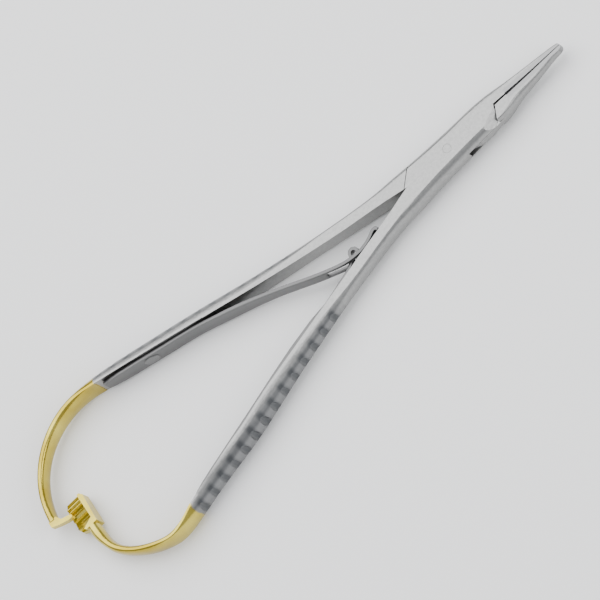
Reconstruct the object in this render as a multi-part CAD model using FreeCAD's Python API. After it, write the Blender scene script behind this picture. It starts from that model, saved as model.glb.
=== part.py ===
import FreeCAD, Part
import math
import os

# Surgical needle holder with bowed handles, a box lock and a ratchet at the rear end.
# Millimetres. The pivot axis is Z through the origin, the jaws point to +X, the grips
# spread to both sides of X, and Z 0 is the flat underside of the box.
# The through arm has its grip on the +Y side and its jaw on the -Y side.
# The box arm has its grip on the -Y side and its jaw on the +Y side.

vec = FreeCAD.Vector

# Box lock
box_height = 6.0
crown = 0.1
middle = box_height / 2
lap_height = 2.0
lap_play = 0.06
waist = 2.0
waist_play = 0.1
lap_rear_slant = 8.5
lap_front_slant = 17.0
opening_angle = 15.0
lap_rear = -17.0
lap_front = 17.5
seam_play = 0.28
pin_radius = 1.15
pin_play = 0.05
pin_bevel = 0.06

# Where the two arms part, ahead of the pivot and behind it
jaw_crotch = 15.3
jaw_edge_lean = 0.563
jaw_play = 0.3
grip_crotch = -14.1
bevel_behind = (11.0, -2.3)
bevel_side = 3.34
bevel_depth = 2.0

# Jaws and their hard inserts
jaw_tip = 36.5
insert_rear = 19.1
insert_thickness = 1.0
tip_gap = 0.12
insert_gap = 0.72
throat_gap = 0.46
tip_round = 0.95

# Grips, with a flat seat for the springs and flutes on the outer side
seat_front = -72.0
grip_end = -103.0
seat_shave = 0.08
flute_count = 14
flute_first = -47.4
flute_pitch = 4.12
flute_radius = 1.15
flute_depth = 0.65

# Ratchet: a toothed rack on the box arm and a finger on the through arm
rack_height = 4.5
rack_outline = [
    (-123.7, -5.6), (-122.9, 2.6), (-123.6, 3.6), (-127.9, 3.6), (-128.7, 2.9),
    (-129.4, -3.2), (-129.0, -4.3), (-127.6, -5.0), (-127.2, -5.6),
]
rack_step = [(-124.2, 5.0), (-124.45, -3.9), (-127.5, -5.1), (-132.0, -6.5), (-132.0, 5.0)]
rim_drop = [(-5.0, 5.3), (3.8, 3.9)]
tooth_crest = 3.1
tooth_start = 1.6
tooth_pitch = 2.6
tooth_depth = 0.85
tooth_lean = 0.2
tooth_count = 3
tooth_reach = 7.4
finger_play = 0.12
finger_top = 5.1
finger_outline = [
    (-131.4, 2.8), (-130.6, 1.25), (-128.5, 0.6), (-128.0, 0.3), (-127.9, -0.1), (-128.3, -0.4),
    (-129.3, -0.35), (-131.8, 0.45), (-133.85, 1.35), (-133.7, 2.8),
]

# Leaf springs and their rivets
leaf_thickness = 0.85
leaf_play = 0.05
leaf_rear = -101.6
leaf_seat_end = -76.0
leaf_root_height = 6.3
leaf_front_height = 5.0
leaf_heel = 1.0
rivet_place = -88.5
rivet_head_radius = 2.1
rivet_head_height = 0.3
rivet_bevel = 0.15
rivet_shank_radius = 1.2
rivet_play = 0.03
rivet_depth = 1.7
window_rear = -41.6
window_front = -33.2
window_height = 2.6
tongue_height = 2.2

# Upper side of the slotted leaf ahead of its seat, to the hook at its front end
slotted_path = [
    (-68.7, 11.4), (-61.5, 8.8), (-55.0, 6.1), (-50.0, 3.75), (-46.0, 1.8), (-41.3, -0.3),
    (-37.5, -1.75), (-34.5, -2.4), (-31.9, -2.5), (-30.1, -2.25), (-28.5, -1.75),
    (-27.3, -1.15), (-26.3, -0.85), (-25.4, -1.15), (-25.05, -1.95),
]
slotted_heights = [(-101.9, leaf_root_height), (-66.0, leaf_root_height), (-54.0, leaf_front_height),
                   (-20.0, leaf_front_height)]

# The tongue leaf, drawn on the through arm's side: outer side from its seat to its curl
tongue_path = [
    (-68.0, 11.78), (-60.0, 9.86), (-50.0, 7.55), (-45.0, 6.42), (-41.5, 5.5), (-38.5, 4.7),
    (-36.3, 3.75), (-35.0, 2.75), (-34.2, 1.75), (-33.95, 1.15), (-33.6, 0.8), (-33.25, 1.15),
    (-33.4, 1.45),
]
tongue_heights = [(-101.9, leaf_root_height), (-60.0, leaf_root_height), (-52.0, leaf_front_height),
                  (-47.0, tongue_height), (-20.0, tongue_height)]

# Stations of one half of the forging, from the jaw tip to the end of the grip:
# along X, inner edge, outer edge of the flat top, swell of the outer side beyond it,
# height, and how square the outer side starts. The half is shaved to Y 0 and to the
# box's height afterwards, so that the box is truly flat.
shave = 0.5
stations = [
    (jaw_tip, -shave, 0.55, 0.35, 2.0, 0.90),
    (34.0, -shave, 0.90, 0.50, 2.35, 0.90),
    (29.5, -shave, 1.35, 0.60, 2.75, 0.90),
    (25.0, -shave, 1.80, 0.65, 3.25, 0.90),
    (20.0, -shave, 2.20, 0.90, 4.10, 0.92),
    (15.5, -shave, 2.35, 1.50, 5.20, 0.96),
    (11.0, -shave, 2.30, 1.90, box_height + 0.02, 1.00),
    (4.0, -shave, 2.35, 1.95, box_height + crown, 1.00),
    (-4.0, -shave, 2.60, 1.95, box_height + crown, 1.00),
    (-10.0, -shave, 3.05, 1.80, box_height + 0.08, 1.00),
    (-15.0, 0.35, 3.60, 1.60, box_height, 0.97),
    (-20.0, 1.50, 4.25, 1.20, 5.75, 0.92),
    (-28.0, 3.05, 5.55, 1.00, 5.30, 0.88),
    (-38.0, 5.10, 7.40, 1.00, 5.00, 0.88),
    (-46.0, 6.85, 8.50, 1.70, 5.30, 0.88),
    (-58.0, 9.55, 10.50, 2.50, 6.20, 0.86),
    (-71.0, 12.65, 13.35, 2.95, 7.40, 0.84),
    (-86.0, 16.38, 17.00, 2.80, 7.80, 0.84),
    (grip_end, 20.60, 21.10, 2.05, 7.40, 0.90),
]

# The root of the through arm's jaw is wide and square, to close the box's front.
jaw_root_stations = [
    (17.5, -shave, 2.90, 0.75, 4.45, 0.95),
    (14.4, -shave, 3.35, 0.50, 4.70, 0.98),
    (12.0, -shave, 3.50, 0.50, 5.10, 1.00),
]

# Bows: angle round the bow's centre, distance of its middle line, thickness, height and rise
far_bow_center = (-110.5, 0.2)
far_bow = [
    (90, 21.95, 2.5, 6.7, 0), (108, 21.9, 2.6, 5.9, 0), (126, 22.0, 2.5, 5.2, 0),
    (144, 22.2, 2.35, 4.8, 0), (162, 22.3, 2.3, 4.5, 0.1), (174, 22.3, 2.3, 3.4, 0.6),
]
near_bow_center = (-110.4, 8.9)
near_bow = [
    (85, 14.0, 2.1, 6.8, 0), (110, 13.75, 2.1, 6.1, 0), (134, 14.0, 2.15, 5.4, 0),
    (149, 14.6, 2.2, 5.0, 0), (164, 15.15, 2.35, 4.7, 0), (176, 15.3, 2.75, 4.5, 0),
    (190, 15.5, 3.0, 4.5, 0), (198, 15.8, 2.6, 4.5, 0),
]
bow_flat_share = 0.25

# Plan lines of the box lock
low = -middle
high = box_height + middle
wide = 40.0
far_out = 200.0
seam = [(-9.6, 7.0), (-10.0, 3.9), (-12.1, 2.0), (grip_crotch, 0.15)]
front_edge = [(jaw_crotch, wide), (jaw_crotch, 0.0), (jaw_crotch - jaw_edge_lean * wide, -wide)]


def prism(outline, bottom, top):
    """A straight-sided block over a plan outline of (x, y) points."""
    corners = [vec(x, y, bottom) for x, y in outline]
    face = Part.Face(Part.makePolygon(corners + corners[:1]))
    return face.extrude(vec(0, 0, top - bottom))


def block(x_range, y_range, z_range):
    """A box between two values on each axis."""
    size = [span[1] - span[0] for span in (x_range, y_range, z_range)]
    return Part.makeBox(size[0], size[1], size[2], vec(x_range[0], y_range[0], z_range[0]))


def near_side(shape):
    """The same shape on the -Y side."""
    return shape.mirror(vec(0, 0, 0), vec(0, 1, 0))


def section(spot, outward, flat, outer_swell, inner_swell, height, lift):
    """A closed section: two flats, joined by a swelling side on each hand."""
    half = height / 2
    edge = flat / 2

    def at(across, up):
        return spot + outward * across + vec(0, 0, up)

    def side(across, swell, sign):
        reach = across + sign * swell * 4 / 3
        poles = [at(across, half), at(reach, lift * half), at(reach, -lift * half), at(across, -half)]
        curve = Part.BezierCurve()
        curve.setPoles(poles if sign > 0 else poles[::-1])
        return curve.toShape()

    top = Part.makeLine(at(-edge, half), at(edge, half))
    bottom = Part.makeLine(at(edge, -half), at(-edge, -half))
    return Part.Wire([top, side(edge, outer_swell, 1), bottom, side(-edge, inner_swell, -1)])


def straight_section(row):
    """A section across X at one station of the half."""
    along, inner, outer, swell, height, lift = row
    spot = vec(along, (inner + outer) / 2, middle)
    return section(spot, vec(0, 1, 0), outer - inner, swell, 0, height, lift)


def bow_section(spot, outward, thickness, height):
    """A section of a bow, with both sides swelling alike."""
    flat = thickness * bow_flat_share
    swell = (thickness - flat) / 2
    return section(spot, outward, flat, swell, swell, height, 0.95)


def bow_sections(center, rows):
    """Sections turned about a bow's centre."""
    wires = []
    for angle, reach, thickness, height, rise in rows:
        turn = math.radians(angle)
        outward = vec(math.cos(turn), math.sin(turn), 0)
        spot = vec(center[0], center[1], middle + rise) + outward * reach
        wires.append(bow_section(spot, outward, thickness, height))
    return wires


def forging_half(wires):
    """One half of the forging on the +Y side, shaved flat at the box and the jaws."""
    half = Part.makeLoft(wires, True, False)
    half = half.cut(block((grip_crotch, wide), (-wide, 0), (low, high)))
    half = half.cut(block((-wide, wide), (-wide, wide), (box_height, high)))
    return half.cut(block((-wide, wide), (-wide, wide), (low, 0)))


def seat_height(along):
    """Distance from X of the flat seat on the inner side of a grip."""
    front, rear = stations[-3], stations[-1]
    return front[1] + seat_shave + (front[0] - along) * (rear[1] - front[1]) / (front[0] - rear[0])


def seat_cut():
    """What is shaved off the inner side of a grip for the spring's seat."""
    outline = [
        (seat_front, seat_height(seat_front)), (grip_end, seat_height(grip_end)),
        (grip_end, 0), (seat_front, 0),
    ]
    return prism(outline, low, high)


def crest(along):
    """Distance from X of the most swollen part of a grip's outer side."""
    for ahead, behind in zip(stations, stations[1:]):
        if ahead[0] >= along >= behind[0]:
            share = (ahead[0] - along) / (ahead[0] - behind[0])
            fore = ahead[2] + ahead[3]
            return fore + share * (behind[2] + behind[3] - fore)
    return stations[-1][2] + stations[-1][3]


def flutes():
    """Shallow round grooves across the outer side of a grip."""
    cuts = []
    for count in range(flute_count):
        along = flute_first - count * flute_pitch
        across = crest(along) - flute_depth + flute_radius
        cuts.append(Part.makeCylinder(flute_radius, high - low, vec(along, across, low)))
    return cuts


def waisted(distance, rear_slant, front_slant):
    """A plan outline narrow at the pivot, the same when turned half round."""
    rear, front = math.radians(rear_slant), math.radians(front_slant)
    rear_foot = vec(-math.sin(rear), -math.cos(rear), 0) * distance
    front_foot = vec(-math.sin(front), -math.cos(front), 0) * distance
    mean = (rear + front) / 2
    neck = vec(-math.sin(mean), -math.cos(mean), 0) * (distance / math.cos((front - rear) / 2))
    rear_end = rear_foot - vec(math.cos(rear), -math.sin(rear), 0) * wide
    front_end = front_foot + vec(math.cos(front), -math.sin(front), 0) * wide
    lower = [rear_end, neck, front_end]
    upper = [point * -1 for point in lower]
    return [(point.x, point.y) for point in lower + upper]


def moved(outline, along):
    return [(x + along, y) for x, y in outline]


def jaw_clearance(side):
    """What is cleared between a jaw and the middle line."""
    outline = [
        (jaw_crotch, -side * wide), (jaw_crotch, side * throat_gap / 2),
        (insert_rear, side * throat_gap / 2), (insert_rear, side * insert_gap / 2),
        (jaw_tip + 1, side * tip_gap / 2), (jaw_tip + 1, -side * wide),
    ]
    return prism(outline, low, high)


def insert_block(side):
    """Block that bounds a jaw's hard insert."""
    rear_face = side * insert_gap / 2
    tip_face = side * tip_gap / 2
    outline = [
        (insert_rear, rear_face), (jaw_tip + 1, tip_face),
        (jaw_tip + 1, tip_face + side * insert_thickness), (insert_rear, rear_face + side * insert_thickness),
    ]
    return prism(outline, low, high)


def jaw_split(arm, side):
    """Divides an arm into the forging and the hard insert of its jaw."""
    seat = insert_block(side)
    return arm.cut(seat), arm.common(seat)


def rack():
    """Block at the end of the box arm's bow that carries the teeth."""
    return prism(rack_outline, middle - rack_height / 2, middle + rack_height / 2)


def rack_cuts():
    """The step down to the teeth, the falling rim beside them, and the saw-shaped grooves."""
    rear = min(x for x, y in rack_step)
    front = max(x for x, y in rack_outline) + 1
    cuts = [prism(rack_step, tooth_crest, high)]
    rim = [vec(rear, y, z) for y, z in rim_drop] + [vec(rear, y, high) for y, z in reversed(rim_drop)]
    cuts.append(Part.Face(Part.makePolygon(rim + rim[:1])).extrude(vec(front - rear, 0, 0)))
    for count in range(tooth_count):
        crest_at = tooth_start - count * tooth_pitch
        groove = [
            vec(rear, crest_at, tooth_crest), vec(rear, crest_at - tooth_lean, tooth_crest - tooth_depth),
            vec(rear, crest_at - tooth_pitch, tooth_crest),
        ]
        cuts.append(Part.Face(Part.makePolygon(groove + groove[:1])).extrude(vec(tooth_reach, 0, 0)))
    return cuts


def front_bevels():
    """What is bevelled off the box's front edges, above and below, on the -Y side."""
    corner = vec(jaw_crotch, 0, box_height)
    behind = vec(bevel_behind[0], bevel_behind[1], box_height)
    lower = vec(jaw_crotch - jaw_edge_lean * bevel_side, -bevel_side, box_height - bevel_depth)
    normal = (behind - corner).cross(lower - corner)
    wedge = Part.makeBox(wide, wide, middle, vec(-wide / 2, -wide / 2, 0))
    wedge.Placement = FreeCAD.Placement(corner, FreeCAD.Rotation(vec(0, 0, 1), normal))
    wedge = wedge.common(block((0, wide), (-wide, 0), (middle, high)))
    return [wedge, wedge.mirror(vec(0, 0, middle), vec(0, 0, 1))]


def tip_rounding():
    """What is rounded off the corners of the closed jaws' tips, in plan."""
    start = jaw_tip - tip_round
    round_end = Part.makeCylinder(tip_round, high - low, vec(start, 0, low))
    return block((start, start + wide), (-wide, wide), (low, high)).cut(round_end)


def smooth_edge(points):
    curve = Part.BSplineCurve()
    curve.interpolate(points)
    return curve.toShape()


def leaf(path, heights):
    """A leaf spring on the +Y side: seated on the grip, then bent along its path."""
    slope = vec(1, -(seat_height(-90) - seat_height(-89)), 0)
    slope.normalize()
    lift = leaf_play / slope.x
    start = vec(leaf_rear, seat_height(leaf_rear) - lift, low)
    bend = vec(leaf_seat_end, seat_height(leaf_seat_end) - lift, low)
    run = [bend] + [vec(x, y, low) for x, y in path]
    curve = Part.BSplineCurve()
    curve.interpolate(run, InitialTangent=slope, FinalTangent=(run[-1] - run[-2]).normalize())
    first, last = curve.FirstParameter, curve.LastParameter
    steps = 40
    outer, inner = [], []
    for step in range(steps + 1):
        value = first + (last - first) * step / steps
        point = curve.value(value)
        heading = curve.tangent(value)[0]
        outer.append(point)
        inner.append(point + vec(heading.y, -heading.x, 0) * leaf_thickness)
    down = vec(slope.y, -slope.x, 0) * leaf_thickness
    wire = Part.Wire([
        Part.makeLine(start, bend), smooth_edge(outer), Part.makeLine(outer[-1], inner[-1]),
        smooth_edge(inner), Part.makeLine(bend + down, start + down), Part.makeLine(start + down, start),
    ])
    bar = Part.Face(wire).extrude(vec(0, 0, high - low))
    upper = [vec(x, -wide, middle + height / 2) for x, height in heights]
    lower = [vec(x, -wide, middle - height / 2) for x, height in reversed(heights)]
    corners = upper + lower
    side_view = Part.Face(Part.makePolygon(corners + corners[:1])).extrude(vec(0, 3 * wide, 0))
    return bar.common(side_view)


def rivet_frame():
    """Spot on the seat where a rivet sits, and the direction out of the grip."""
    along = vec(1, -(seat_height(-90) - seat_height(-89)), 0)
    along.normalize()
    out = vec(along.y, -along.x, 0)
    return vec(rivet_place, seat_height(rivet_place), middle), out


def rivet_hole(radius):
    spot, out = rivet_frame()
    return Part.makeCylinder(radius, rivet_depth + wide / 4, spot - out * rivet_depth, out)


def rivet():
    """A rivet with a low bevelled head on the free side of the leaf."""
    spot, out = rivet_frame()
    under_head = leaf_play + leaf_thickness
    shank = Part.makeCylinder(rivet_shank_radius, rivet_depth + under_head, spot - out * rivet_depth, out)
    head = Part.makeCylinder(rivet_head_radius, rivet_head_height - rivet_bevel, spot + out * under_head, out)
    rim = Part.makeCone(rivet_head_radius, rivet_head_radius - rivet_bevel, rivet_bevel,
                        spot + out * (under_head + rivet_head_height - rivet_bevel), out)
    return shank.fuse([head, rim]).removeSplitter()


def pivot():
    """A pin as long as the box is high, bevelled at both ends."""
    body = Part.makeCylinder(pin_radius, box_height - 2 * pin_bevel, vec(0, 0, pin_bevel))
    upper = Part.makeCone(pin_radius, pin_radius - pin_bevel, pin_bevel, vec(0, 0, box_height - pin_bevel))
    lower = Part.makeCone(pin_radius - pin_bevel, pin_radius, pin_bevel, vec(0, 0, 0))
    return body.fuse([upper, lower]).removeSplitter()


def lap(far):
    """The thin waisted part of the through arm inside the box."""
    outline = waisted(waist, lap_rear_slant, lap_front_slant)
    slab = prism(outline, middle - lap_height / 2, middle + lap_height / 2)
    slab = slab.common(block((lap_rear, lap_front), (-wide, wide), (low, high)))
    upper = far.common(slab)
    lower = near_side(far).common(slab)
    return upper.fuse(lower).cut(jaw_clearance(-1))


def slot_cut():
    """The slanted slot through the box, wide enough for the lap to turn in."""
    outline = waisted(waist + waist_play, lap_rear_slant, lap_front_slant + opening_angle)
    half = lap_height / 2 + lap_play
    return prism(outline, middle - half, middle + half)


def arms():
    """Both arms as forged, before their holes are drilled."""
    straight = [straight_section(row) for row in stations]
    far = forging_half(straight + bow_sections(far_bow_center, far_bow))
    near = forging_half(straight + bow_sections(near_bow_center, near_bow))
    jaw_rows = [row for row in stations if row[0] > jaw_root_stations[0][0]] + jaw_root_stations
    jaw = near_side(forging_half([straight_section(row) for row in jaw_rows]))

    cuts = flutes() + [seat_cut()]
    far = far.cut(cuts)
    near = near_side(near.cut(cuts)).fuse(rack()).cut(rack_cuts())

    ahead_of_edge = front_edge + [(far_out, -wide), (far_out, wide)]
    behind_seam = seam + [(grip_crotch, -wide), (-far_out, -wide), (-far_out, wide), (seam[0][0], wide)]
    box_arm = near.cut(prism(ahead_of_edge, low, high)).cut(front_bevels())
    box_arm = box_arm.fuse(far.cut(prism(behind_seam, low, high)).cut(jaw_clearance(1)))
    box_arm = box_arm.cut([slot_cut(), tip_rounding()])

    ahead_of_seam = seam + [(grip_crotch, -wide), (far_out, -wide), (far_out, wide), (seam[0][0], wide)]
    behind_shoulder = front_edge + [(-far_out, -wide), (-far_out, wide)]
    grip = far.cut(prism(moved(ahead_of_seam, -seam_play), low, high))
    jaw = jaw.cut(prism(moved(behind_shoulder, jaw_play), low, high)).cut(jaw_clearance(-1))
    finger = prism(finger_outline, tooth_crest + finger_play, finger_top)
    through_arm = grip.fuse([lap(far), jaw, finger]).cut(tip_rounding())
    return box_arm, through_arm


def build():
    box_arm, through_arm = arms()
    box_arm, box_insert = jaw_split(box_arm, 1)
    through_arm, through_insert = jaw_split(through_arm, -1)

    pin = pivot()
    box_arm = box_arm.cut(Part.makeCylinder(pin_radius, high - low, vec(0, 0, low)))
    through_arm = through_arm.cut(Part.makeCylinder(pin_radius + pin_play, high - low, vec(0, 0, low)))

    hole = rivet_hole(rivet_shank_radius + rivet_play)
    slotted = leaf(slotted_path, slotted_heights)
    window = block((window_rear, window_front), (-wide, wide),
                   (middle - window_height / 2, middle + window_height / 2))
    slotted = slotted.cut([window, hole])
    tongue = leaf(tongue_path, tongue_heights).cut(hole)
    through_arm = through_arm.cut(hole)
    box_arm = box_arm.cut(near_side(hole))

    return {
        "box_arm": box_arm, "through_arm": through_arm, "pivot_pin": pin,
        "slotted_spring": slotted, "tongue_spring": near_side(tongue),
        "slotted_spring_rivet": rivet(), "tongue_spring_rivet": near_side(rivet()),
        "box_jaw_insert": box_insert, "through_jaw_insert": through_insert,
    }


os.makedirs("parts", exist_ok=True)
for name, shape in build().items():
    shape = shape.removeSplitter()
    box = shape.BoundBox
    print(name, len(shape.Solids), round(shape.Volume, 2), shape.isValid(),
          [round(value, 2) for value in (box.XMin, box.XMax, box.YMin, box.YMax, box.ZMin, box.ZMax)])
    shape.exportStep("parts/" + name + ".step")
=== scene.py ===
# %% [markdown]
# This lesson dresses a surgical needle holder that came from CAD. The two forged arms, the pin,
# the rivets and the hard jaw faces keep their shapes, but for some fine ridges. Blender adds the
# finishes, and it models the two leaf springs anew, because they bend when the handles move and a
# rigid solid can't. Everything is in metres, with the pivot at the origin and the jaws towards +X.

# %% Load the frame
import bpy
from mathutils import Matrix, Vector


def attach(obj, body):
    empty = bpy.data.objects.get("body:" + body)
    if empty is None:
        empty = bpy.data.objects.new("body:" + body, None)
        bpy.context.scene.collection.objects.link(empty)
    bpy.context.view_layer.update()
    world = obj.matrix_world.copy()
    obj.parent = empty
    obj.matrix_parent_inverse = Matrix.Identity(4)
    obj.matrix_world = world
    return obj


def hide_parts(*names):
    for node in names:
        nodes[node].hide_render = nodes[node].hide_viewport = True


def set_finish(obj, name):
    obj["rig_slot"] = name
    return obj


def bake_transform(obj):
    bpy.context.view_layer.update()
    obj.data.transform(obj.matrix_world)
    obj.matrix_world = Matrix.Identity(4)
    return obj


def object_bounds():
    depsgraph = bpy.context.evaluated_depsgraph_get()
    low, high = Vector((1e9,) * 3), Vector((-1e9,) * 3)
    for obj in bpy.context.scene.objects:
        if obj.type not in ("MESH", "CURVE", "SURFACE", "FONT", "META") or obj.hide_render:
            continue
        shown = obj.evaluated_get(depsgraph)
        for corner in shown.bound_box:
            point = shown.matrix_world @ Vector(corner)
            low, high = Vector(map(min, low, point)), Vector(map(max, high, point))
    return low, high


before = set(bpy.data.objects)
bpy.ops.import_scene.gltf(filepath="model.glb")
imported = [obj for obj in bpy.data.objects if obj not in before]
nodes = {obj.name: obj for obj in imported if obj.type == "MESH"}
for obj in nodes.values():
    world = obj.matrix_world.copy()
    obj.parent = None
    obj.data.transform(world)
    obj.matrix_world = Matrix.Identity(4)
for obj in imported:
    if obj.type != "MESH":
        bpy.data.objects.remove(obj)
cad_box = [list(corner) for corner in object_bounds()]
import bpy
import math
from mathutils import Matrix, Vector
mm = 0.001
print("CAD pieces:", ", ".join(sorted(nodes)))

# %% [markdown]
# Every finish is built from a few shader nodes. One helper starts a material, and the others add a
# node each, so that the finishes below stay short and readable. A value given to them may be a
# number, a colour or another node's output. The Mix node keeps its sockets for numbers and for
# colours at other places, so mix_sockets lists the share, both inputs and the result for each.

# %% Helpers for finishes
mix_sockets = {"FLOAT": (0, 2, 3, 0), "RGBA": (0, 6, 7, 2)}


def new_material(name):
    """A material, its tree, its shader and the Object coordinates."""
    material = bpy.data.materials.new(name)
    material.use_nodes = True
    tree = material.node_tree
    shader = tree.nodes["Principled BSDF"]
    coords = tree.nodes.new("ShaderNodeTexCoord").outputs["Object"]
    return material, tree, shader, coords


def feed(tree, socket, value):
    """Sets a socket to a value, or links it where the value is another node's output."""
    if isinstance(value, bpy.types.NodeSocket):
        tree.links.new(value, socket)
    else:
        socket.default_value = value


def add(tree, kind, **values):
    """A node with its sockets fed by name."""
    node = tree.nodes.new(kind)
    for key, value in values.items():
        feed(tree, node.inputs[key.replace("_", " ")], value)
    return node


def stretched(tree, coords, scale):
    """Object coordinates stretched, so that a pattern becomes a grain along one axis."""
    mapping = add(tree, "ShaderNodeMapping", Vector=coords)
    mapping.inputs["Scale"].default_value = scale
    return mapping.outputs["Vector"]


def noise(tree, coords, scale, detail=3.0, rough=0.55):
    """Cloudy values round one half."""
    node = add(tree, "ShaderNodeTexNoise", Vector=coords, Scale=scale, Detail=detail, Roughness=rough)
    return node.outputs["Fac"]


def remap(tree, value, low, high, new_low, new_high):
    """Carries a value from one range to another, clamped."""
    node = add(tree, "ShaderNodeMapRange", Value=value)
    for key, number in (("From Min", low), ("From Max", high), ("To Min", new_low), ("To Max", new_high)):
        node.inputs[key].default_value = number
    return node.outputs["Result"]


def mix(tree, data_type, share, first, second):
    """A number or colour between two others."""
    node = tree.nodes.new("ShaderNodeMix")
    node.data_type = data_type
    *inputs, result = mix_sockets[data_type]
    for index, value in zip(inputs, (share, first, second)):
        feed(tree, node.inputs[index], value)
    return node.outputs[result]


def math_node(tree, operation, *values):
    """One sum, product or other operation."""
    node = tree.nodes.new("ShaderNodeMath")
    node.operation = operation
    for socket, value in zip(node.inputs, values):
        feed(tree, socket, value)
    return node.outputs[0]


def finish_shader(tree, shader, color, roughness, height, strength, depth):
    """Feeds a bare metal's shader: its colour, its roughness and the bump of its surface."""
    relief = add(tree, "ShaderNodeBump", Height=height, Strength=strength, Distance=depth)
    feed(tree, shader.inputs["Base Color"], color)
    feed(tree, shader.inputs["Roughness"], roughness)
    feed(tree, shader.inputs["Normal"], relief.outputs["Normal"])
    shader.inputs["Metallic"].default_value = 1.0


print("Helpers are ready.")

# %% [markdown]
# The arms are forged stainless steel with a satin finish: it's brushed along the instrument, so the
# grain runs along X. The bows at the rear are plated with gold. The plating ends at a line across
# each arm, so one material shows both metals and chooses by the place along X. The flutes on the
# outer sides of the grips are cut by a round wheel. Those sides get a painted shade, and the flutes'
# floors a deeper painted shade. A straight line from grip_front to grip_rear follows those sides,
# and what lies close to it counts as side.

# %% Satin steel with gold-plated bows
gold_line = -102.9 * mm
gold_line_fade = 0.25 * mm
gold_line_wobble = 0.35 * mm
gold_color = (0.60, 0.50, 0.10, 1.0)
gold_shade = (0.40, 0.30, 0.035, 1.0)
gold_roughness = (0.16, 0.26)
steel_color = (0.335, 0.335, 0.33, 1.0)
steel_shade = (0.285, 0.285, 0.283, 1.0)
steel_roughness = (0.30, 0.40)
# Painted shade for the grips' outer sides, and a deeper painted shade for the flutes' floors.
grip_side_painted_shade = (0.20, 0.203, 0.206, 1.0)
flute_painted_shade = (0.105, 0.11, 0.115, 1.0)
flute_first = -47.4 * mm
flute_pitch = 4.12 * mm
flute_fade = (0.1, 0.325)
grip_front = Vector((-46.0, 10.2, 0.0)) * mm
grip_rear = Vector((-103.0, 23.15, 0.0)) * mm
grip_side_fade = (0.9 * mm, 1.65 * mm)
noise_spread = (0.3, 0.7)
narrow_spread = (0.35, 0.65)
brushed = (0.15, 1.0, 1.0)
brush_scale, cloud_scale, speckle_scale, wobble_scale = 2600.0, 90.0, 1500.0, 260.0
brush_depth = 0.02 * mm
brush_strength = 0.15


def grip_painted_shade_masks(tree, along, across):
    """The fluted side of both grips and the flutes in it, where painted shade goes, as one there and nought
    elsewhere.
    """
    turns = math_node(tree, "DIVIDE", math_node(tree, "SUBTRACT", along, flute_first), flute_pitch)
    offset = math_node(tree, "ABSOLUTE", math_node(tree, "SUBTRACT", turns, math_node(tree, "ROUND", turns)))
    inside = remap(tree, offset, *flute_fade, 1.0, 0.0)
    slope = (grip_rear.y - grip_front.y) / (grip_rear.x - grip_front.x)
    outline = math_node(tree, "MULTIPLY_ADD", along, slope, grip_front.y - slope * grip_front.x)
    depth = math_node(tree, "SUBTRACT", outline, math_node(tree, "ABSOLUTE", across))
    outer = remap(tree, depth, *grip_side_fade, 1.0, 0.0)
    behind = remap(tree, along, flute_first, flute_first + flute_pitch, 1.0, 0.0)
    side = math_node(tree, "MULTIPLY", outer, behind)
    return side, math_node(tree, "MULTIPLY", side, inside)


def arm_finish(name):
    """Brushed steel ahead of the gold line, plating behind it, and painted shade on the grips' fluted sides.
    """
    material, tree, shader, coords = new_material(name)
    grain = noise(tree, stretched(tree, coords, brushed), brush_scale, 4.0)
    cloud = noise(tree, coords, cloud_scale)
    speckle = noise(tree, coords, speckle_scale, 2.0, 0.7)
    axes = add(tree, "ShaderNodeSeparateXYZ", Vector=coords)
    along, across = axes.outputs["X"], axes.outputs["Y"]
    drift = noise(tree, coords, wobble_scale)
    wobble = remap(tree, drift, *noise_spread, -gold_line_wobble, gold_line_wobble)
    place = math_node(tree, "ADD", along, wobble)
    plated = remap(tree, place, gold_line - gold_line_fade, gold_line + gold_line_fade, 1.0, 0.0)
    steel = mix(tree, "RGBA", remap(tree, speckle, *narrow_spread, 0.0, 1.0), steel_shade, steel_color)
    # The grips' outer sides get a painted shade, and the flutes in them a deeper painted shade.
    side, flutes = grip_painted_shade_masks(tree, along, across)
    steel = mix(tree, "RGBA", side, steel, grip_side_painted_shade)
    steel = mix(tree, "RGBA", flutes, steel, flute_painted_shade)
    gold = mix(tree, "RGBA", remap(tree, cloud, *narrow_spread, 0.0, 1.0), gold_shade, gold_color)
    color = mix(tree, "RGBA", plated, steel, gold)
    steel_rough = remap(tree, grain, *noise_spread, *steel_roughness)
    gold_rough = remap(tree, cloud, *noise_spread, *gold_roughness)
    roughness = mix(tree, "FLOAT", plated, steel_rough, gold_rough)
    finish_shader(tree, shader, color, roughness, grain, brush_strength, brush_depth)
    return material


satin = arm_finish("satin_steel_gold_bows")
print("Made", satin.name)

# %% [markdown]
# Leaf springs are hardened strip, which keeps a darker grey than the forgings, and so do their
# rivets. The pin is ground flush with the box, so it shares the arms' satin finish.

# %% Spring and rivet steel
plain_grain_scale = 1800.0
plain_grain_depth = 0.015 * mm
plain_grain_strength = 0.2


def plain_steel(name, bright, dull, roughness, stretch):
    """Grey steel with a fine grain, stretched along the piece or not."""
    material, tree, shader, coords = new_material(name)
    grain = noise(tree, stretched(tree, coords, stretch), plain_grain_scale)
    color = mix(tree, "RGBA", grain, dull, bright)
    rough = remap(tree, grain, *noise_spread, *roughness)
    finish_shader(tree, shader, color, rough, grain, plain_grain_strength, plain_grain_depth)
    return material


spring_steel = plain_steel(
    "spring_steel", bright=(0.16, 0.16, 0.16, 1.0), dull=(0.11, 0.11, 0.112, 1.0),
    roughness=(0.3, 0.42), stretch=(0.1, 1.0, 1.0))
rivet_steel = plain_steel(
    "rivet_steel", bright=(0.20, 0.20, 0.198, 1.0), dull=(0.15, 0.15, 0.149, 1.0),
    roughness=(0.25, 0.35), stretch=(1.0, 1.0, 1.0))
print("Made", spring_steel.name, "and", rivet_steel.name)

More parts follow.
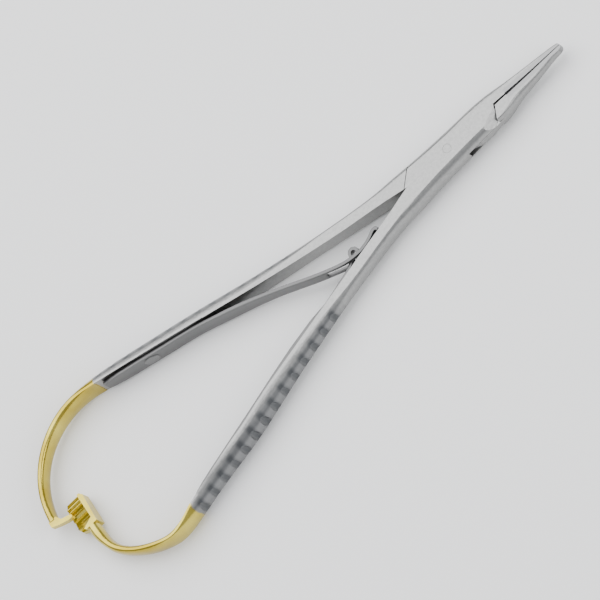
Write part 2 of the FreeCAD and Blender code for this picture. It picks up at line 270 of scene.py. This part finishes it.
# %% [markdown]
# The jaws' working faces are tungsten carbide, darker and duller than steel, and cut with a fine
# cross-hatch that grips the needle. Two sets of slanting waves, multiplied, make the small pyramids.
# The insert's narrow upper edge is ground smooth with the jaw, so the normal decides where it's cut.

# %% Cross-hatched carbide
hatch_wave_scale = 1.0 / (1.8 * mm)
hatch_turns = (45.0, -45.0)
hatch_depth = 0.1 * mm
hatch_strength = 0.8
sideways_fade = (0.8, 0.95)
carbide_color = (0.30, 0.30, 0.302, 1.0)
carbide_shade = (0.25, 0.25, 0.252, 1.0)
carbide_roughness = (0.34, 0.44)
carbide_speckle_scale = 1400.0


def slanting_waves(tree, coords, turn):
    """Triangular waves in the XZ plane, turned about Y by an angle in degrees."""
    mapping = add(tree, "ShaderNodeMapping", Vector=coords)
    mapping.inputs["Rotation"].default_value = (0.0, math.radians(turn), 0.0)
    wave = add(tree, "ShaderNodeTexWave", Vector=mapping.outputs["Vector"], Scale=hatch_wave_scale)
    wave.bands_direction = "X"
    wave.wave_profile = "TRI"
    return wave.outputs["Fac"]


def carbide_finish(name):
    """Carbide with small pyramids on the faces that look along Y."""
    material, tree, shader, coords = new_material(name)
    pyramids = math_node(tree, "MULTIPLY", *[slanting_waves(tree, coords, turn) for turn in hatch_turns])
    facing = tree.nodes.new("ShaderNodeTexCoord").outputs["Normal"]
    sideways = math_node(tree, "ABSOLUTE", add(tree, "ShaderNodeSeparateXYZ", Vector=facing).outputs["Y"])
    cut = math_node(tree, "MULTIPLY", pyramids, remap(tree, sideways, *sideways_fade, 0.0, 1.0))
    speckle = noise(tree, coords, carbide_speckle_scale)
    color = mix(tree, "RGBA", speckle, carbide_shade, carbide_color)
    roughness = remap(tree, speckle, *noise_spread, *carbide_roughness)
    finish_shader(tree, shader, color, roughness, cut, hatch_strength, hatch_depth)
    return material


carbide = carbide_finish("cross_hatched_carbide")
print("Made", carbide.name)

# %% [markdown]
# Each CAD piece gets its finish in its first material slot, and all its faces use that slot. The
# springs aren't in the list, because new ones take their place below.

# %% Give the CAD pieces their finishes
finishes = {
    "box_arm": satin, "through_arm": satin, "pivot_pin": satin,
    "slotted_spring_rivet": rivet_steel, "tongue_spring_rivet": rivet_steel,
    "box_jaw_insert": carbide, "through_jaw_insert": carbide,
}
for name, finish in finishes.items():
    mesh = nodes[name].data
    mesh.materials.clear()
    mesh.materials.append(finish)
    mesh.polygons.foreach_set("material_index", [0] * len(mesh.polygons))
print("Dressed", len(finishes), "pieces.")

# %% [markdown]
# The ratchet's rack has fine ridges between its three locking teeth. Bars with a sharp lower edge
# cut the grooves between them with a Boolean, which needs a closed mesh, so the box arm is copied
# and the doubled corners of the copy are merged first. Each row of ridge_cuts gives a bar's place
# across the rack, the height of its axis and half its width, all in millimetres. The copy stands
# for the CAD piece, which isn't changed.

# %% Cut the fine ridges of the rack
ridge_rear, ridge_front = -130.5, -124.5
ridge_cuts = [(3.12, 3.1, 0.42), (2.12, 3.1, 0.42), (0.15, 2.7, 0.3), (-2.45, 2.7, 0.3)]
bar_steepness = 1.1
merge_distance = 0.0005 * mm


def bar(across, height, half_width):
    """A diamond-shaped bar along X whose lower half cuts a groove."""
    bpy.ops.mesh.primitive_cube_add(size=1.0)
    made = bpy.context.object
    made.rotation_euler = (math.pi / 4, 0.0, 0.0)
    bpy.ops.object.transform_apply(rotation=True)
    width = half_width * math.sqrt(2) * mm
    made.scale = ((ridge_front - ridge_rear) * mm, width, width * bar_steepness)
    made.location = Vector(((ridge_rear + ridge_front) / 2, across, height)) * mm
    bpy.ops.object.transform_apply(location=True, scale=True)
    return made


bpy.ops.object.select_all(action="DESELECT")
box_arm = bpy.data.objects.new("box_arm_with_ridges", nodes["box_arm"].data.copy())
bpy.context.scene.collection.objects.link(box_arm)
bpy.context.view_layer.objects.active = box_arm
box_arm.select_set(True)
bpy.ops.object.mode_set(mode="EDIT")
bpy.ops.mesh.select_all(action="SELECT")
bpy.ops.mesh.remove_doubles(threshold=merge_distance)
bpy.ops.object.mode_set(mode="OBJECT")
for cutter in [bar(*cut) for cut in ridge_cuts]:
    bpy.context.view_layer.objects.active = box_arm
    groove = box_arm.modifiers.new("Groove", "BOOLEAN")
    groove.operation = "DIFFERENCE"
    groove.solver = "EXACT"
    groove.object = cutter
    bpy.ops.object.modifier_apply(modifier="Groove")
    bpy.data.objects.remove(cutter)
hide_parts("box_arm")
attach(box_arm, "box_side")
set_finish(box_arm, nodes["box_arm"].get("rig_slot", "satin_steel"))
print("The rack has", len(ridge_cuts), "fine grooves and the arm", len(box_arm.data.polygons), "faces")

# %% [markdown]
# Merging loses the shading normals that make the forging's curves look smooth and its flats flat.
# So each corner that the grooves left alone gets its normal back from the CAD piece. It's found by
# where it is and by the middle of its face, both rounded to a micrometre. The grooves' own faces
# are shaded flat.

# %% Bring the box arm's shading back
key_digits = 6


def corners(mesh):
    """Every face with each of its corners, and a key made of where the two are."""
    for face in mesh.polygons:
        for corner in face.loop_indices:
            spot = mesh.vertices[mesh.loops[corner].vertex_index].co
            yield face, corner, tuple(round(value, key_digits) for value in (*face.center, *spot))


cad_mesh = nodes["box_arm"].data
kept_normals = {key: cad_mesh.corner_normals[corner].vector.copy() for _, corner, key in corners(cad_mesh)}
box_arm.data.polygons.foreach_set("use_smooth", [True] * len(box_arm.data.polygons))
corner_normals = [kept_normals.get(key, face.normal.copy()) for face, _, key in corners(box_arm.data)]
box_arm.data.normals_split_custom_set(corner_normals)
print("The CAD piece lends", len(kept_normals), "normals to the", len(corner_normals), "corners of the copy")

# %% [markdown]
# A leaf spring is a strip of steel bent along a path. The strip starts as a small grid, one face
# long and four faces wide, and its front edge is extruded from point to point. Solidify then gives
# it thickness and Bevel breaks its sharp edges. That keeps the mesh light and evenly spaced, which
# makes it bend well.

# %% Helpers that extrude a strip along a path
strip_columns = 4
steps_between = 20
tiny = 1e-12
leaf_edge = 0.12 * mm
leaf_edge_angle = math.radians(50)
leaf_smooth_angle = math.radians(40)


def strip(name, path, width_at):
    """A strip across Z whose rows follow the path, in metres."""
    start, second = path[0], path[1]
    heading = second - start
    bpy.ops.object.select_all(action="DESELECT")
    bpy.ops.mesh.primitive_grid_add(x_subdivisions=strip_columns, y_subdivisions=1, size=1.0)
    leaf = bpy.context.object
    leaf.name = name
    leaf.rotation_euler = (0.0, -math.pi / 2, 0.0)
    bpy.ops.object.transform_apply(rotation=True)
    leaf.scale = (1.0, heading.length, width_at(start.x))
    bpy.ops.object.transform_apply(scale=True)
    leaf.rotation_euler = (0.0, 0.0, math.atan2(heading.y, heading.x) - math.pi / 2)
    leaf.location = (start + second) / 2
    bpy.ops.object.transform_apply(location=True, rotation=True)

    ends = sorted(leaf.data.vertices, key=lambda vertex: vertex.co.x)[strip_columns + 1:]
    front = {vertex.index for vertex in ends}
    for item in list(leaf.data.vertices) + list(leaf.data.edges) + list(leaf.data.polygons):
        item.select = False
    for edge in leaf.data.edges:
        edge.select = set(edge.vertices) <= front
    for index in front:
        leaf.data.vertices[index].select = True
    bpy.ops.object.mode_set(mode="EDIT")
    bpy.ops.mesh.select_mode(type="EDGE")
    for here, there in zip(path[1:], path[2:]):
        bpy.ops.mesh.extrude_region_move(TRANSFORM_OT_translate={"value": there - here})
        growth = width_at(there.x) / width_at(here.x)
        bpy.ops.transform.resize(value=(1.0, 1.0, growth), center_override=there)
    bpy.ops.object.mode_set(mode="OBJECT")
    return leaf


def curve_through(points, count):
    """Evenly spaced points of a smooth curve through the given ones."""
    first = points[0] * 2 - points[1]
    last = points[-1] * 2 - points[-2]
    ring = [first] + points + [last]
    fine = []
    for a, b, c, d in zip(ring, ring[1:], ring[2:], ring[3:]):
        for step in range(steps_between):
            t = step / steps_between
            fine.append(b + (c - a) * (t / 2) + (a * 2 - b * 5 + c * 4 - d) * (t * t / 2)
                        + (b * 3 - a - c * 3 + d) * (t ** 3 / 2))
    fine.append(points[-1])
    lengths = [0.0]
    for a, b in zip(fine, fine[1:]):
        lengths.append(lengths[-1] + (b - a).length)
    even = []
    for step in range(count + 1):
        goal = lengths[-1] * step / count
        at = max(index for index, length in enumerate(lengths) if length <= goal + tiny)
        at = min(at, len(fine) - 2)
        share = (goal - lengths[at]) / (lengths[at + 1] - lengths[at])
        even.append(fine[at].lerp(fine[at + 1], share))
    return even


def profile(table):
    """Reads a value between the (x, value) pairs of a table, in millimetres."""
    def read(x):
        x = x / mm
        for (x0, v0), (x1, v1) in zip(table, table[1:]):
            if x <= x1:
                return (v0 + (v1 - v0) * min(max((x - x0) / (x1 - x0), 0.0), 1.0)) * mm
        return table[-1][1] * mm
    return read


def finish_leaf(leaf, thickness, side):
    """Thickness, soft edges and a finish."""
    solid = leaf.modifiers.new("Thickness", "SOLIDIFY")
    solid.thickness = thickness
    solid.offset = side
    solid.use_even_offset = True
    edge = leaf.modifiers.new("Edges", "BEVEL")
    edge.width = leaf_edge
    edge.segments = 2
    edge.angle_limit = leaf_edge_angle
    for modifier in ("Thickness", "Edges"):
        bpy.ops.object.modifier_apply(modifier=modifier)
    bpy.ops.object.shade_smooth_by_angle(angle=leaf_smooth_angle)
    leaf.data.materials.append(spring_steel)
    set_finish(leaf, "spring_steel")
    print(leaf.name, "has", len(leaf.data.polygons), "faces")


print("Strip helpers are ready.")

# %% [markdown]
# The slotted spring is riveted to the upper handle, leaves it in a long S and runs to the lower
# one. A window near its front end lets the other spring's tongue through, and its end is rolled
# into a small hook. The window is made by deleting the middle faces before the strip is thickened.

# %% Model the slotted spring
mid = 3.0
leaf_thickness = 0.85 * mm
leaf_root_width = 6.3
leaf_front_width = 5.0
leaf_rear_end = [(-102, 3.4), (-100, 5.0), (-97, 6.0), (-93, leaf_root_width)]
seat = [(-101.5, 20.18), (-94.0, 18.32), (-85.0, 16.08), (-76.0, 13.85)]
slotted_points = seat + [
    (-68.7, 11.4), (-61.5, 8.8), (-55.0, 6.1), (-50.0, 3.75), (-46.0, 1.8), (-41.3, -0.3),
    (-37.5, -1.75), (-34.5, -2.4), (-31.9, -2.5), (-30.1, -2.25), (-28.5, -1.75),
    (-27.3, -1.15), (-26.3, -0.85), (-25.4, -1.15), (-25.05, -1.95),
]
slotted_rows = 120
slotted_width = profile(leaf_rear_end + [(-66, leaf_root_width), (-54, leaf_front_width),
                                         (-20, leaf_front_width)])
window_rear, window_front = -42.0, -31.8
path = curve_through([Vector((x, y, mid)) * mm for x, y in slotted_points], slotted_rows)
slotted = strip("slotted_leaf_spring", path, slotted_width)
for face in slotted.data.polygons:
    center = face.center / mm
    face.select = window_rear < center.x < window_front and abs(center.z - mid) < leaf_front_width / 4
bpy.ops.object.mode_set(mode="EDIT")
bpy.ops.mesh.select_mode(type="FACE")
bpy.ops.mesh.delete(type="FACE")
bpy.ops.object.mode_set(mode="OBJECT")
finish_leaf(slotted, leaf_thickness, -1.0)
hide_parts("slotted_spring")

# %% [markdown]
# The tongue spring is riveted to the lower handle. It narrows to a tongue, and the tongue ends in
# a curl that stands in the window of the slotted spring, so the two push each other apart. The curl
# is an arc round its own centre, so it is worked out from a radius and two angles.

# %% Model the tongue spring
tongue_points = seat + [
    (-68.0, 11.78), (-60.0, 9.86), (-50.0, 7.55), (-45.0, 6.42), (-41.5, 5.5), (-38.5, 4.7),
    (-36.4, 3.8), (-35.3, 2.9), (-34.65, 2.15),
]
tongue_rows = 160
curl_center = (-33.85, 1.5)
curl_radius = 0.64
curl_start, curl_end, curl_step = 190, 490, 30
for turn in range(curl_start, curl_end + 1, curl_step):
    angle = math.radians(turn)
    tongue_points.append((curl_center[0] + curl_radius * math.cos(angle),
                          curl_center[1] + curl_radius * math.sin(angle)))
tongue_width_front = 2.2
tongue_width = profile(leaf_rear_end + [(-60, leaf_root_width), (-52, leaf_front_width),
                                        (-47, tongue_width_front), (-20, tongue_width_front)])
path = curve_through([Vector((x, -y, mid)) * mm for x, y in tongue_points], tongue_rows)
tongue = strip("tongue_leaf_spring", path, tongue_width)
finish_leaf(tongue, leaf_thickness, 1.0)
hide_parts("tongue_spring")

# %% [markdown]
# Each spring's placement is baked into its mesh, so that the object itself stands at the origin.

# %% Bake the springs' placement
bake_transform(slotted)
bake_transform(tongue)

# %% [markdown]
# The instrument lies on a plain pale floor. It rests on the high sides of its grips, so the flat
# underside of the box stands almost a millimetre above the floor.

# %% Floor
floor_size = 3.0
floor_gap = 0.02 * mm
floor_color = (0.93, 0.93, 0.93, 1.0)
floor_roughness = 0.7
bpy.ops.object.select_all(action="DESELECT")
bpy.ops.mesh.primitive_plane_add(size=floor_size, location=(-0.05, 0.0, cad_box[0][2] - floor_gap))
floor = bpy.context.object
floor.name = "floor"
paper, _, shader, _ = new_material("pale_floor")
shader.inputs["Base Color"].default_value = floor_color
shader.inputs["Roughness"].default_value = floor_roughness
floor.data.materials.append(paper)
print("Floor at z =", round(floor.location.z / mm, 2), "mm")

# %% [markdown]
# Polished metal shows what surrounds it. A large soft light hangs where the flat upper sides
# mirror it to the camera, a weaker one fills from the other side, and the world is a pale grey.

# %% Light
middle_of_object = Vector((-0.045, 0.0, 0.003))
lights = {
    "top_light": {"place": (-0.15, 0.35, 0.75), "size": 1.1, "power": 12.0},
    "fill_light": {"place": (0.5, -0.5, 0.6), "size": 0.6, "power": 4.5},
}
world_color = (0.9, 0.92, 0.95, 1.0)
world_strength = 0.75


def soft_light(name, place, size, power):
    """A square light that looks at the middle of the object."""
    light = bpy.data.lights.new(name, "AREA")
    light.shape = "SQUARE"
    light.size = size
    light.energy = power
    lamp = bpy.data.objects.new(name, light)
    bpy.context.scene.collection.objects.link(lamp)
    lamp.location = place
    lamp.rotation_euler = (middle_of_object - Vector(place)).to_track_quat("-Z", "Y").to_euler()


for name, values in lights.items():
    soft_light(name, **values)
world = bpy.data.worlds.new("studio")
world.use_nodes = True
background = world.node_tree.nodes["Background"]
background.inputs["Color"].default_value = world_color
background.inputs["Strength"].default_value = world_strength
bpy.context.scene.world = world
print("Lights:", ", ".join(lights))

# %% [markdown]
# The photograph was taken with a long lens from above and in front. The camera's place is given by
# two angles, a distance and a roll, because these four are what a photographer would choose.

# %% Camera
azimuth = math.radians(19.63)
elevation = math.radians(61.74)
roll = math.radians(-61.59)
distance = 1.4956
picture_width = 600.0
pixels_per_metre = 4164.8
shift_right = -18.27 / pixels_per_metre
shift_up = -18.9 / pixels_per_metre
back = Vector((math.sin(azimuth) * math.cos(elevation), -math.cos(azimuth) * math.cos(elevation),
               math.sin(elevation)))
level = Vector((math.cos(azimuth), math.sin(azimuth), 0.0))
rise = back.cross(level)
right = level * math.cos(roll) + rise * math.sin(roll)
up = rise * math.cos(roll) - level * math.sin(roll)
camera_data = bpy.data.cameras.new("camera")
camera_data.sensor_width = 36.0
camera_data.lens = pixels_per_metre * distance * camera_data.sensor_width / picture_width
camera_data.clip_end = 10.0
camera_data.dof.use_dof = False
camera = bpy.data.objects.new("camera", camera_data)
bpy.context.scene.collection.objects.link(camera)
rows = [[right[i], up[i], back[i]] for i in range(3)]
place = middle_of_object + back * distance + right * shift_right + up * shift_up
camera.matrix_world = Matrix.Translation(place) @ Matrix(rows).to_4x4()
bpy.context.scene.camera = camera
print("Lens", round(camera_data.lens, 1), "mm at", round(distance, 3), "m")
